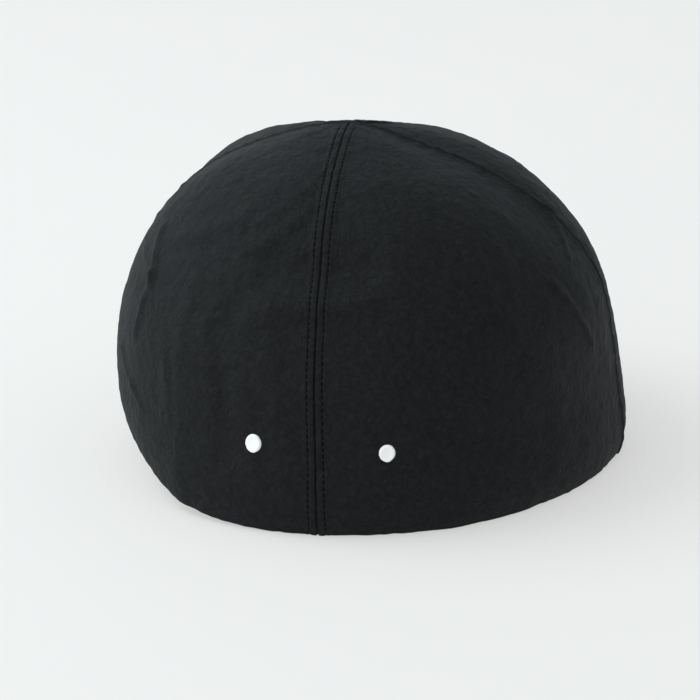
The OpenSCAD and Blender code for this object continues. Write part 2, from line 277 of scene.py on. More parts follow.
def noise_at(points, size, seed=0.0):
    """Smooth noise from -1 to 1, with features of that size in millimetres."""
    flat = np.asarray(points, float).reshape(-1, 3) / size + seed
    values = [noise.noise(Vector(p)) for p in flat]
    return np.array(values).reshape(np.asarray(points).shape[:-1])


def seam_relief(a, z):
    """The sunk seam line, the felled allowance beside it and the dip of the stitch row."""
    d_long, d_side = from_seams(a, z)
    d = np.minimum(d_long, d_side)
    line = np.where(d_long < d_side, -0.65 * np.exp(-((d / 0.34) ** 2)), 0.75 * np.exp(-((d / 1.15) ** 2)))
    allowance = np.where(d_long < d_side, 0.5, 0.15) / (1 + np.exp((d - STITCH_OFFSET - 1.0) / 0.3))
    stitch = np.where(d_long < d_side, -0.45, 0) * np.exp(-(((d - STITCH_OFFSET) / 0.5) ** 2))
    drop = -1.0 * (1 - np.exp(-((d / 1.3) ** 2))) * np.exp(-((d / 13) ** 2))
    below = np.where((d_side < d_long) & (cosd(a) < 0), drop, 0)
    return line + allowance + stitch + below, d


def relief(a, z, points):
    """Everything that stands out of the smooth crown, in millimetres."""
    seam, d = seam_relief(a, z)
    d_long, d_side = from_seams(a, z)
    over_long, over_side = noise_at(points * (0.3, 1, 1), 3.3, 3.1), noise_at(points * (1, 0.3, 1), 3.3, 3.1)
    drawn = np.where(d_long < d_side, over_long, over_side)
    pucker = 0.42 * np.exp(-d / 11) * drawn
    drape = 0.5 * noise_at(points * (1, 1, 0.5), 24, 7.7) + 0.3 * noise_at(points * (1, 1, 0.6), 11, 1.9)
    calm = 1 - 0.75 * np.exp(-((d / 5) ** 2))
    crinkle = 0.26 * noise_at(points, 4.2, 5.5) + 0.13 * noise_at(points, 2.2, 9.2)
    return seam + pucker + calm * drape + folds(a, z) + crinkle


def on_crown(a, z, lift=0.0):
    """Points on the finished cloth and the outward normals there."""
    points = crown(a, z)
    n = normals(crown, a, z, CROWN_H)
    out = relief(a, z, points) + lift
    return points + n * out[..., None], n


def under_crown(a, z, depth):
    """Points at a depth under the cloth, which follow its broad form but not its fine relief."""
    points = crown(a, z)
    n = normals(crown, a, z, CROWN_H)
    return points + n * (folds(a, z) - depth)[..., None]


def hard_shell(a, z):
    a, z = np.broadcast_arrays(np.asarray(a, float), np.asarray(z, float))
    k = share(z, a, SHELL_H, 1)
    return np.stack([SHELL_HALF_W * k * sind(a), SHELL_HALF_L * k * cosd(a) + lean(z), z], -1)


def in_shell(a, z, depth):
    depth = np.asarray(depth, float)
    return hard_shell(a, z) - normals(hard_shell, a, z, SHELL_H) * depth[..., None]


def band_at(a, depth, z):
    a, depth, z = np.broadcast_arrays(*(np.asarray(v, float) for v in (a, depth, z)))
    w, l = SHELL_HALF_W - BAND_D - depth, SHELL_HALF_L - BAND_D - depth
    return np.stack([w * sind(a), l * cosd(a), z], -1)


# ---------------- mesh building
def build(name, points, faces, material, body, stands_for=(), slot=None, uv=None):
    mesh = bpy.data.meshes.new(name)
    mesh.from_pydata((np.asarray(points) * MM).tolist(), [], [list(map(int, f)) for f in faces])
    if uv is not None:
        layer = mesh.uv_layers.new(name="cloth")
        loops = np.zeros(len(mesh.loops), int)
        mesh.loops.foreach_get("vertex_index", loops)
        layer.data.foreach_set("uv", np.asarray(uv, float)[loops].ravel())
    bm = bmesh.new()
    bm.from_mesh(mesh)
    bmesh.ops.remove_doubles(bm, verts=bm.verts, dist=2e-6)
    bmesh.ops.recalc_face_normals(bm, faces=bm.faces)
    bm.to_mesh(mesh)
    bm.free()
    mesh.polygons.foreach_set("use_smooth", [True] * len(mesh.polygons))
    piece = bpy.data.objects.new(name, mesh)
    bpy.context.scene.collection.objects.link(piece)
    mesh.materials.append(material)
    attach(piece, body)
    if stands_for:
        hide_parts(*stands_for)
    return piece


def two_sided(outer, inner, ring=False):
    """Closed form between two point grids: columns along the first axis, rows along the second."""
    nu, nv = outer.shape[:2]
    points = np.concatenate([outer.reshape(-1, 3), inner.reshape(-1, 3)])
    wide = nu if ring else nu - 1

    def at(side, i, j):
        return side * nu * nv + (i % nu) * nv + j

    faces = []
    for i in range(wide):
        for j in range(nv - 1):
            faces.append((at(0, i, j), at(0, i + 1, j), at(0, i + 1, j + 1), at(0, i, j + 1)))
            faces.append((at(1, i, j), at(1, i, j + 1), at(1, i + 1, j + 1), at(1, i + 1, j)))
        for j in (0, nv - 1):
            faces.append((at(0, i, j), at(1, i, j), at(1, i + 1, j), at(0, i + 1, j)))
    if not ring:
        for j in range(nv - 1):
            for i in (0, nu - 1):
                faces.append((at(0, i, j), at(0, i, j + 1), at(1, i, j + 1), at(1, i, j)))
    return points, faces


def cloth_uv(across, up):
    """Flat coordinates in metres of a two-sided cloth, the same on both of its sides."""
    uv = np.stack(np.broadcast_arrays(across, up), -1).reshape(-1, 2) * MM
    return np.concatenate([uv, uv])


def length_along(line):
    """Length from the start of a line to each of its points."""
    return np.cumsum(np.r_[0, np.linalg.norm(np.diff(line, axis=0), axis=1)])


def tubes(lines, radii, sides=6, outward=None):
    """One mesh of closed tubes. lines is (count, steps, 3), and radii is the radius at each step."""
    lines = np.asarray(lines, float)
    count, steps = lines.shape[:2]
    tangent = np.gradient(lines, axis=1)
    tangent /= np.linalg.norm(tangent, axis=-1, keepdims=True)
    middle = lines - lines.mean((0, 1)) if outward is None else np.broadcast_to(outward, lines.shape)
    middle = middle / np.maximum(np.linalg.norm(middle, axis=-1, keepdims=True), 1e-9)
    first = np.cross(tangent, middle + np.array([0.013, 0.017, 0.011]))
    first /= np.linalg.norm(first, axis=-1, keepdims=True)
    second = np.cross(tangent, first)
    turn = np.arange(sides) * 2 * math.pi / sides
    ring = first[:, :, None] * np.cos(turn)[:, None] + second[:, :, None] * np.sin(turn)[:, None]
    points = lines[:, :, None] + ring * np.asarray(radii)[None, :, None, None]
    faces = []
    for c in range(count):
        base = c * steps * sides
        for s in range(steps - 1):
            for k in range(sides):
                a, b = base + s * sides + k, base + s * sides + (k + 1) % sides
                faces.append((a, b, b + sides, a + sides))
        faces.append([base + k for k in reversed(range(sides))])
        faces.append([base + (steps - 1) * sides + k for k in range(sides)])
    return points.reshape(-1, 3), faces


def merged(parts):
    """Several (points, faces) as one."""
    points, faces, start = [], [], 0
    for p, f in parts:
        points.append(p)
        faces += [[i + start for i in face] for face in f]
        start += len(p)
    return np.concatenate(points), faces


def along(points, pitch, start):
    """Even places on a line of points: fractional index of each."""
    step = np.linalg.norm(np.diff(points, axis=0), axis=1)
    length = np.concatenate([[0], np.cumsum(step)])
    places = np.arange(start, length[-1] - pitch / 2, pitch)
    return places, length


def stitch_row(points, n, pitch=STITCH_PITCH, long=1.8):
    """Centre lines of stitches that dip into the cloth at both ends."""
    places, length = along(points, pitch, pitch / 2)
    dip = np.array([-0.42, -0.06, 0.05, 0.08, 0.05, -0.06, -0.42])
    reach = np.array([-0.5, -0.42, -0.25, 0, 0.25, 0.42, 0.5]) * long
    lines = []
    for p in places:
        at = p + reach
        c = np.stack([np.interp(at, length, points[:, k]) for k in range(3)], -1)
        m = np.stack([np.interp(at, length, n[:, k]) for k in range(3)], -1)
        lines.append(c + m * dip[:, None])
    return lines


STITCH_RADII = np.array([0.16, 0.28, 0.3, 0.3, 0.3, 0.28, 0.16])


# ---------------- materials
class Nodes:
    """A small helper for node materials."""

    def __init__(self, name, base, roughness, **sockets):
        self.material = bpy.data.materials.new(name)
        self.material.use_nodes = True
        self.tree = self.material.node_tree
        self.shader = self.tree.nodes["Principled BSDF"]
        self.shader.inputs["Base Color"].default_value = (*base, 1)
        self.shader.inputs["Roughness"].default_value = roughness
        for key, value in sockets.items():
            self.shader.inputs[key.replace("_", " ")].default_value = value
        self.place = self.tree.nodes.new("ShaderNodeTexCoord").outputs["Object"]
        uv = self.tree.nodes.new("ShaderNodeUVMap")
        uv.uv_map = "cloth"
        self.uv = uv.outputs["UV"]

    def link(self, a, b):
        self.tree.links.new(a, b)

    def noise(self, scale, detail=3.0, rough=0.5, distortion=0.0, where=None, stretch=None):
        node = self.tree.nodes.new("ShaderNodeTexNoise")
        node.inputs["Scale"].default_value = scale
        node.inputs["Detail"].default_value = detail
        node.inputs["Roughness"].default_value = rough
        node.inputs["Distortion"].default_value = distortion
        source = where or self.place
        if stretch:
            source = self.stretched(source, stretch)
        self.link(source, node.inputs["Vector"])
        return node.outputs["Fac"]

    def stretched(self, source, by):
        node = self.tree.nodes.new("ShaderNodeMapping")
        node.inputs["Scale"].default_value = by
        self.link(source, node.inputs["Vector"])
        return node.outputs["Vector"]

    def wave(self, scale, direction="X", where=None, distortion=0.0):
        node = self.tree.nodes.new("ShaderNodeTexWave")
        node.bands_direction = direction
        node.inputs["Scale"].default_value = scale
        node.inputs["Distortion"].default_value = distortion
        self.link(where or self.place, node.inputs["Vector"])
        return node.outputs["Fac"]

    def warped(self, scale, by):
        """The object place moved about by noise, by that many millimetres."""
        node = self.tree.nodes.new("ShaderNodeTexNoise")
        node.inputs["Scale"].default_value = scale
        node.inputs["Detail"].default_value = 3
        self.link(self.place, node.inputs["Vector"])
        move = self.tree.nodes.new("ShaderNodeVectorMath")
        move.operation = "MULTIPLY_ADD"
        move.inputs[1].default_value = (2 * by * MM,) * 3
        self.link(node.outputs["Color"], move.inputs[0])
        self.link(self.place, move.inputs[2])
        return move.outputs[0]

    def creases(self, scale, where, width=0.09):
        """1 on the cloth and 0 in a net of thin creases."""
        edge = self.cells(scale, where, "DISTANCE_TO_EDGE")
        node = self.tree.nodes.new("ShaderNodeMapRange")
        node.interpolation_type = "SMOOTHSTEP"
        node.inputs["From Max"].default_value = width
        self.link(edge, node.inputs["Value"])
        return node.outputs["Result"]

    def cells(self, scale, where=None, feature="F1"):
        node = self.tree.nodes.new("ShaderNodeTexVoronoi")
        node.feature = feature
        node.inputs["Scale"].default_value = scale
        self.link(where or self.place, node.inputs["Vector"])
        return node.outputs["Distance"]

    def maths(self, kind, a, b):
        node = self.tree.nodes.new("ShaderNodeMath")
        node.operation = kind
        for socket, value in zip(node.inputs, (a, b)):
            if isinstance(value, (int, float)):
                socket.default_value = value
            else:
                self.link(value, socket)
        return node.outputs[0]

    def colours(self, factor, low, high, start=0.3, end=0.7):
        node = self.tree.nodes.new("ShaderNodeValToRGB")
        node.color_ramp.elements[0].position = start
        node.color_ramp.elements[0].color = (*low, 1)
        node.color_ramp.elements[1].position = end
        node.color_ramp.elements[1].color = (*high, 1)
        self.link(factor, node.inputs["Fac"])
        self.link(node.outputs["Color"], self.shader.inputs["Base Color"])

    def gloss(self, factor, low, high):
        node = self.tree.nodes.new("ShaderNodeMapRange")
        node.inputs["To Min"].default_value = low
        node.inputs["To Max"].default_value = high
        self.link(factor, node.inputs["Value"])
        self.link(node.outputs["Result"], self.shader.inputs["Roughness"])

    def bumps(self, *layers):
        """Each layer is (height, depth in millimetres, strength)."""
        last = None
        for height, depth, strength in layers:
            node = self.tree.nodes.new("ShaderNodeBump")
            node.inputs["Distance"].default_value = depth * MM
            node.inputs["Strength"].default_value = strength
            self.link(height, node.inputs["Height"])
            if last:
                self.link(last, node.inputs["Normal"])
            last = node.outputs["Normal"]
        self.link(last, self.shader.inputs["Normal"])
        return self.material


def crinkle_cloth():
    """Thin crinkled nylon: a fine dry surface, a net of small creases and a close plain weave."""
    m = Nodes(
        "cover_cloth", (0.007, 0.008, 0.009), 0.55,
        Sheen_Weight=0.015, Sheen_Roughness=0.45, Sheen_Tint=(0.5, 0.85, 1.0, 1), Specular_IOR_Level=0.08,
        Specular_Tint=(0.84, 0.95, 1.0, 1),
    )
    fine = m.noise(1000, 4.0, 0.65, 0.6)
    middle = m.noise(420, 4.0, 0.62, 1.2)
    place = m.warped(300, 1.6)
    net = m.creases(250, place, 0.34)
    small_net = m.creases(560, place, 0.34)
    weave = m.maths("MULTIPLY", m.wave(520, "X", m.uv), m.wave(520, "Y", m.uv))
    # Base colour: random tone from the middle noise, plus painted shade: darker along the net of creases.
    m.colours(m.maths("ADD", m.maths("MULTIPLY", middle, 0.75), m.maths("MULTIPLY", net, 0.06)),
              (0.0080, 0.0081, 0.0086), (0.0192, 0.0196, 0.0208), 0.3, 0.75)
    m.gloss(m.noise(160, 3.0), 0.54, 0.7)
    return m.bumps(
        (middle, 0.9, 0.7),
        (net, 0.3, 0.4),
        (small_net, 0.12, 0.4),
        (fine, 0.26, 0.7),
        (weave, 0.06, 0.4),
    )


def tape_cloth():
    m = Nodes("tape_twill", (0.02, 0.02, 0.023), 0.7, Sheen_Weight=0.3, Sheen_Roughness=0.4)
    slant = m.wave(330, "DIAGONAL", m.uv, 0.2)
    twill = m.maths("MULTIPLY", slant, m.noise(220, 2.0))
    m.colours(twill, (0.012, 0.012, 0.014), (0.034, 0.034, 0.038), 0.1, 0.6)
    return m.bumps((slant, 0.22, 0.8), (m.noise(900, 3.0), 0.15, 0.5))


def thread(name, low, high, specular):
    m = Nodes(name, low, 0.55, Specular_IOR_Level=specular)
    twist = m.wave(900, "DIAGONAL", m.place, 1.5)
    m.colours(m.maths("MULTIPLY", twist, m.noise(500, 2.0)), low, high, 0.05, 0.45)
    return m.bumps((twist, 0.06, 0.6))


def moulded(name, low, high, rough=0.42, grain=900):
    m = Nodes(name, low, rough, Specular_IOR_Level=0.5)
    wear = m.noise(45, 5.0, 0.65)
    m.colours(wear, low, high, 0.4, 0.75)
    m.gloss(m.noise(260, 4.0), rough - 0.08, rough + 0.14)
    return m.bumps((m.cells(grain), 0.12, 0.45), (m.noise(60, 2.0), 0.25, 0.3))


def foam_skin():
    m = Nodes("pad_mesh_cloth", (0.03, 0.031, 0.034), 0.78, Sheen_Weight=0.4, Sheen_Roughness=0.45)
    holes = m.cells(560, feature="SMOOTH_F1")
    m.colours(holes, (0.008, 0.008, 0.009), (0.05, 0.052, 0.056), 0.15, 0.55)
    return m.bumps((holes, 0.35, 0.8), (m.noise(180, 3.0), 0.4, 0.4))


def towelling():
    m = Nodes("sweatband_towelling", (0.024, 0.024, 0.026), 0.9, Sheen_Weight=0.5, Sheen_Roughness=0.5)
    loops = m.cells(1150)
    m.colours(loops, (0.010, 0.010, 0.011), (0.042, 0.042, 0.045), 0.1, 0.6)
    return m.bumps((loops, 0.4, 0.9), (m.noise(300, 3.0), 0.4, 0.4))


def elastic_web():
    m = Nodes("elastic_web", (0.022, 0.022, 0.024), 0.72, Sheen_Weight=0.3, Sheen_Roughness=0.4)
    ribs = m.wave(230, "Y", m.uv)
    ribbed = m.maths("MULTIPLY", ribs, m.noise(400, 2.0))
    m.colours(ribbed, (0.010, 0.010, 0.011), (0.05, 0.05, 0.054), 0.05, 0.6)
    return m.bumps((ribs, 0.35, 0.9), (m.wave(620, "X", m.uv), 0.1, 0.5))


def nap(name, scale, depth):
    m = Nodes(name, (0.02, 0.02, 0.022), 0.85, Sheen_Weight=0.5, Sheen_Roughness=0.5)
    tuft = m.cells(scale)
    m.colours(tuft, (0.008, 0.008, 0.009), (0.05, 0.05, 0.054), 0.1, 0.7)
    return m.bumps((tuft, depth, 0.9), (m.noise(1400, 4.0), 0.2, 0.6))


FLOOR_GLOW = 0.49


def pale_floor():
    """A white light table: part of its brightness is its own, so shadows on it stay weak."""
    own_light = {"Emission_Color": (1.0, 1.0, 0.98, 1), "Emission_Strength": FLOOR_GLOW}
    m = Nodes("floor", (0.33, 0.33, 0.33), 0.8, **own_light, Specular_IOR_Level=0.2)
    m.colours(m.noise(3, 2.0), (0.327, 0.328, 0.328), (0.335, 0.335, 0.334))
    return m.material


COVER = crinkle_cloth()
TAPE = tape_cloth()
# Near-black thread, far darker than the black cloth: its own black colour plus painted shade, so the stitch
# rows read as shaded needle holes.
BLACK_THREAD_AND_PAINTED_SHADE = thread("black_thread_painted_shade", (0.0006, 0.0006, 0.0007), (0.0022, 0.0023, 0.0026), 0.05)
WHITE_THREAD = thread("white_thread", (0.94, 0.94, 0.94), (1.0, 1.0, 1.0), 0.3)
SHELL = moulded("shell_plastic", (0.016, 0.017, 0.019), (0.024, 0.025, 0.028))
BOARD = moulded("peak_board_plastic", (0.02, 0.02, 0.022), (0.03, 0.03, 0.033), 0.5)
STUD = moulded("stud_plastic", (0.03, 0.03, 0.032), (0.045, 0.045, 0.048), 0.3, 1500)
FOAM = foam_skin()
BAND = towelling()
ELASTIC = elastic_web()
LOOP = nap("loop_tape", 900, 0.5)
HOOK = nap("hook_tape", 620, 0.3)


# ---------------- cover
COLUMNS = 150
ROWS = 168
HEM_ROLL = 0.85


def panel_angles(a0):
    """Plan angles over one panel, closer together near its two seams."""
    u = np.linspace(-1, 1, COLUMNS)
    return a0 + 45 + 45 * np.sign(u) * (1 - (1 - np.abs(u)) ** 1.6)


def panel(name, a0, stands_for):
    a = panel_angles(a0)[:, None]
    t = np.linspace(0, 1, ROWS)[None]
    low = hem_z(a) + HEM_ROLL
    z = low + (1 - low / CROWN_H) * rise(t, CROWN_H)
    outer = on_crown(a, z)[0]
    depth = CLOTH_T + (2 * HEM_ROLL - CLOTH_T) * np.exp(-(((z - low) / 6) ** 2))
    inner = under_crown(a, z, depth)
    roll = np.radians([90, 60, 30])[None]
    drop = -HEM_ROLL * np.sin(roll)
    edge, edge_n = on_crown(a, low + 0 * roll)
    out_roll = edge - edge_n * (HEM_ROLL * (1 - np.cos(roll)))[..., None] + drop[..., None] * (0, 0, 1)
    in_roll = inner[:, :1] + edge_n * (HEM_ROLL * (1 - np.cos(roll)))[..., None] + drop[..., None] * (0, 0, 1)
    in_roll[:, 0] = out_roll[:, 0]
    outer = np.concatenate([out_roll, outer], 1)
    inner = np.concatenate([in_roll, inner], 1)
    seam_gap = 0.05
    shift = seam_gap * np.array([np.sign(sind(a0 + 45)), np.sign(cosd(a0 + 45)), 0])
    points, faces = two_sided(outer + shift, inner + shift)
    zz = np.concatenate([low + drop, z], 1)
    wide = np.radians(a - a0 - 45) * HALF_W * share(zz, a, CROWN_H, HEM_SHARE)
    uv = cloth_uv(wide, length_along(outer[COLUMNS // 2])[None])
    piece = build(name, points, faces, COVER, "cover", [stands_for], "cover_cloth", uv)


def seam_angle(seam, off, z):
    """Plan angle of the line at a distance off one of the four seams."""
    half = HALF_W if seam in (0, 180) else HALF_L
    k = np.maximum(share(z, seam, CROWN_H, HEM_SHARE), 1e-3)
    side = 1 if seam in (0, 90) else -1
    return seam + side * np.degrees(np.arcsin(np.clip(off / (half * k), -1, 1)))


def seam_heights(seam, off, low, steps):
    """Heights up a seam line, to where it meets the other seams."""
    m = roundness(seam)
    half = HALF_W if seam in (0, 180) else HALF_L
    other = HALF_L if seam in (0, 180) else HALF_W
    k = math.hypot(off / half, off / other)
    top = BULGE_Z + (CROWN_H - BULGE_Z) * (1 - k**m) ** (1 / m)
    t = np.linspace(0, 1, steps)
    return low + (top - low) * np.sin(t * math.pi / 2) ** (2 / CROWN_ROUND)


def crown_topstitching():
    lines = []
    for seam in (0, 180):
        for off in (-STITCH_OFFSET, STITCH_OFFSET):
            low = float(hem_z(seam)) + 2
            z = seam_heights(seam, STITCH_OFFSET, low, 400)
            points, n = on_crown(seam_angle(seam, off, z), z)
            lines += stitch_row(points, n)
    return build("crown_topstitching", *tubes(lines, STITCH_RADII), BLACK_THREAD_AND_PAINTED_SHADE, "cover", (), "tape")


def facing():
    a = np.linspace(0, 360, 241)[:-1, None]
    rows = np.array([0.0, 0.12, 0.3, 0.6, 1, 2, 5, 9, 13, 17, 20, 21, 21.4, 21.7, 21.88, 22])[None]
    z = hem_z(a) + 1.6 + rows * (facing_high[2] - PEAK_ARCH - 2.2) / 22
    edge = np.sqrt(np.clip(1 - (np.abs(rows - 11) / 11) ** 40, 0, 1)) * 0.35
    wobble = 0.18 * noise_at(crown(a, z), 14, 2.2)
    middle = 2 * HEM_ROLL + 0.55
    points, faces = two_sided(
        under_crown(a, z, middle - edge + wobble), under_crown(a, z, middle + edge + wobble), ring=True
    )
    uv = cloth_uv(np.radians(a) * HALF_W, z)
    piece = build("hem_facing_strip", points, faces, TAPE, "cover", ["hem_facing"], "tape", uv)


def tape_strip(seams, off_half, depth, low):
    """Tape under one seam line, or under two that run on into each other over the top."""
    off = np.array([-1, -0.97, -0.6, 0, 0.6, 0.97, 1])[:, None] * off_half
    grid_z, grid_a = [], []
    for order, seam in enumerate(seams):
        start = float(hem_z(seam)) + low
        z = seam_heights(seam, off_half if len(seams) == 1 else 0.1, start, 60)
        sign = 1 if order == 0 else -1
        part_a = seam_angle(seam, sign * off, z[None])
        part_z = np.broadcast_to(z[None], part_a.shape)
        if order:
            part_a, part_z = part_a[:, ::-1], part_z[:, ::-1]
        grid_a.append(part_a)
        grid_z.append(part_z)
    a, z = np.concatenate(grid_a, 1), np.concatenate(grid_z, 1)
    thick = np.array([0, 0.22, 0.3, 0.3, 0.3, 0.22, 0])[:, None]
    outer, inner = under_crown(a, z, depth - thick), under_crown(a, z, depth + thick)
    return two_sided(outer, inner), cloth_uv(off, length_along(outer[3])[None])


def long_tape():
    """The back and front halves lie over the whole crown: the rows use their own offsets, not angles."""
    half = 5.0
    off = np.array([-1, -0.97, -0.6, 0, 0.6, 0.97, 1]) * half
    thick = np.array([0, 0.22, 0.3, 0.3, 0.3, 0.22, 0])
    depth = CLOTH_T + 0.75
    line = []
    for seam in (0, 180):
        z = seam_heights(seam, 0.3, float(hem_z(seam)) + facing_high[2] - PEAK_ARCH, 70)
        p = under_crown(np.full(70, float(seam)), z, np.full(70, depth))
        n = normals(crown, np.full(70, float(seam)), z, CROWN_H)
        line.append((p, n) if seam == 0 else (p[::-1], n[::-1]))
    p = np.concatenate([line[0][0], line[1][0]])
    n = np.concatenate([line[0][1], line[1][1]])
    across = np.array([1.0, 0, 0])
    bow = (off / half) ** 2 * 0.15
    grid = p[None] + off[:, None, None] * across - n[None] * bow[:, None, None]
    outer = grid + n[None] * thick[:, None, None]
    inner = grid - n[None] * thick[:, None, None]
    uv = cloth_uv(off[:, None], length_along(p)[None])
    cloth = two_sided(outer, inner)
    piece = build("seam_tape_long_strip", *cloth, TAPE, "cover", ["seam_tape_long"], "tape", uv)


def side_tapes():
    parts, uvs = [], []
    for seam in (90, -90):
        part, uv = tape_strip([seam], 5.0, CLOTH_T + 0.75, facing_high[2] - PEAK_ARCH)
        parts.append(part)
        uvs.append(uv)
    points, faces = merged(parts)
    uv = np.concatenate(uvs)
    piece = build("seam_tapes_side_strips", points, faces, TAPE, "cover", ["seam_tapes_side"], "tape", uv)


def frame_at(a, z, lift=0.0):
    """Point on the cloth with the directions across, up and out there."""
    p, n = on_crown(np.array([float(a)]), np.array([float(z)]), lift)
    at = np.array([float(a)])
    q = crown(at, np.array([z + 1.0]))[0] - crown(at, np.array([z - 1.0]))[0]
    n = n[0]
    up = q - n * np.dot(q, n)
    up /= np.linalg.norm(up)
    return p[0], np.cross(up, n), up, n


# Embroidered spots: place across, height, half width, half height
SPOTS = ((23.5, 35.5, 3.35, 3.45), (-26.4, 34.0, 3.1, 3.2))


def embroidered_spots():
    """Two solid white dots of satin stitches, laid over a padded rim."""
    parts = []
    for x, z, wide, tall in SPOTS:
        a = math.degrees(math.asin(x / (HALF_W * float(share(z, 0.0, CROWN_H, HEM_SHARE)))))
        p, across, up, out = frame_at(a, z)
        lines = []
        for k in range(23):
            v = (k - 11) / 11.4
            half = math.sqrt(1 - v**2) * (1 + 0.03 * math.sin(5.1 * k))
            s = np.linspace(-1, 1, 11) * half
            r = np.hypot(s, v)
            high = 0.42 + 0.3 * np.exp(-(((r - 0.78) / 0.16) ** 2))
            high[[0, -1]] = -0.2
            slant = 0.06 * s
            at = (s * wide)[:, None] * across
            lines.append(p + at + ((v + slant) * tall)[:, None] * up + high[:, None] * out)
        parts.append(tubes(lines, [0.14, 0.2, 0.22, 0.22, 0.22, 0.22, 0.22, 0.22, 0.22, 0.2, 0.14], 6, out))
        r = np.array([1.02, 0.98, 0.86, 0.72, 0.5, 0.25, 0.0])[None, :, None]
        w = np.radians(np.arange(0, 360, 7.5))[:, None, None]
        high = np.array([-0.3, 0.2, 0.52, 0.6, 0.42, 0.36, 0.36])[None, :, None]
        dome = p + r * (wide * np.cos(w) * across + tall * np.sin(w) * up) + high * out
        base = p + 0 * dome + r * (wide * np.cos(w) * across + tall * np.sin(w) * up) - 0.3 * out
        parts.append(two_sided(dome, base, ring=True))
    return build(
        "back_embroidered_spots", *merged(parts), WHITE_THREAD, "cover", ["back_spots"], "white_thread"
    )


def rounded(u, v, corner=0.06, waist=0.02):
    """A square grid drawn in a little between its corners, with the corners rounded."""
    at_corner = 1 - corner * np.abs(u * v) ** 7
    return u * at_corner * (1 - waist * (1 - v**2)), v * at_corner * (1 - waist * (1 - u**2))


def rolled(u, v, edge):
    """How full a flat form is: 1 in the middle, and 0 on its rounded outer edge."""
    reach = (np.abs(u) ** 12 + np.abs(v) ** 12) ** (1 / 12)
    return np.sqrt(np.clip(1 - (np.clip(reach - (1 - edge), 0, edge) / edge) ** 2, 0, 1))


PATCH_HALF_ANGLE = 12.5
PATCH_LOW, PATCH_TALL = 0.66, 0.12
PATCH_T = 1.6


def patch_grid(a0, top):
    u, v = np.meshgrid(np.linspace(-1, 1, 41), np.linspace(-1, 1, 33), indexing="ij")
    x, y = rounded(u, v, 0.08, 0.0)
    a = a0 + PATCH_HALF_ANGLE * x
    z = rise(PATCH_LOW + PATCH_TALL * (y + 1) / 2, top)
    return a, z, rolled(u, v, 0.06)


def loop_patches():
    parts = []
    middle = CLOTH_T + 0.55 + PATCH_T / 2
    for a0 in range(45, 360, 90):
        a, z, full = patch_grid(a0, CROWN_H)
        nap_up = 0.12 * noise_at(crown(a, z), 1.8, 4.0)
        outer = under_crown(a, z, middle - full * PATCH_T / 2)
        inner = under_crown(a, z, middle + full * (PATCH_T / 2 + nap_up))
        parts.append(two_sided(outer, inner))
    piece = build("loop_patch_pads", *merged(parts), LOOP, "cover", ["loop_patches"], "loop")


def hook_patches():
    """Hook tape on the outside of the shell, with its rows of small hooks."""
    parts, hooks = [], []
    middle = -(0.15 + PATCH_T / 2)
    half = PATCH_T / 2 - 0.35
    for a0 in range(45, 360, 90):
        a, z, full = patch_grid(a0, SHELL_H)
        outer, inner = in_shell(a, z, middle - full * half), in_shell(a, z, middle + full * (PATCH_T / 2))
        parts.append(two_sided(outer, inner))
        hu, hv = np.meshgrid(np.linspace(-0.88, 0.88, 19), np.linspace(-0.86, 0.86, 15), indexing="ij")
        ha = (a0 + PATCH_HALF_ANGLE * hu).ravel()
        hz = rise(PATCH_LOW + PATCH_TALL * (hv + 1) / 2, SHELL_H).ravel()
        base, n = hard_shell(ha, hz), normals(hard_shell, ha, hz, SHELL_H)
        up = hard_shell(ha, hz + 0.5) - base
        up /= np.linalg.norm(up, axis=-1, keepdims=True)
        stem = -middle + half + np.array([-0.1, 0.25, 0.42, 0.34])
        bend = np.array([0, 0, 0.14, 0.32])
        hooks.append(base[:, None] + n[:, None] * stem[:, None] + up[:, None] * bend[:, None])
    parts.append(tubes(np.concatenate(hooks), [0.12, 0.1, 0.09, 0.06], 4))
    return build("hook_patch_tapes", *merged(parts), HOOK, "liner", ["hook_patches"], "hook")


# ---------------- peak
def peak_middle(f, s):
    a = 180 + PEAK_HALF * f
    root_z = hem_z(a) + 2.8

    def root(loose):
        return crown(a, root_z, loose) + normals(crown, a, root_z, CROWN_H) * 0.9

    even, drawn = root(0.0), root(1.0)
    corner = crown(np.array(180.0 + PEAK_HALF), np.array(2.8), 0.0)
    g = np.radians(86 * f)
    edge = np.stack(
        [
            -(abs(corner[0]) + 5.5) * np.sign(g) * np.abs(np.sin(g)) ** PEAK_BLUNT,
            corner[1] - (HALF_L * HEM_SHARE + PEAK_OUT + corner[1]) * np.cos(g) ** PEAK_BLUNT,
            2.8 + (PEAK_TIP - 2.8) * np.cos(g) ** 1.5,
        ],
        -1,
    )
    s = s[..., None]
    crowned = np.concatenate([0 * s, 0 * s, 1.5 * np.sin(math.pi * s) * np.cos(g)[..., None]], -1)
    return drawn + (edge - even) * s + crowned


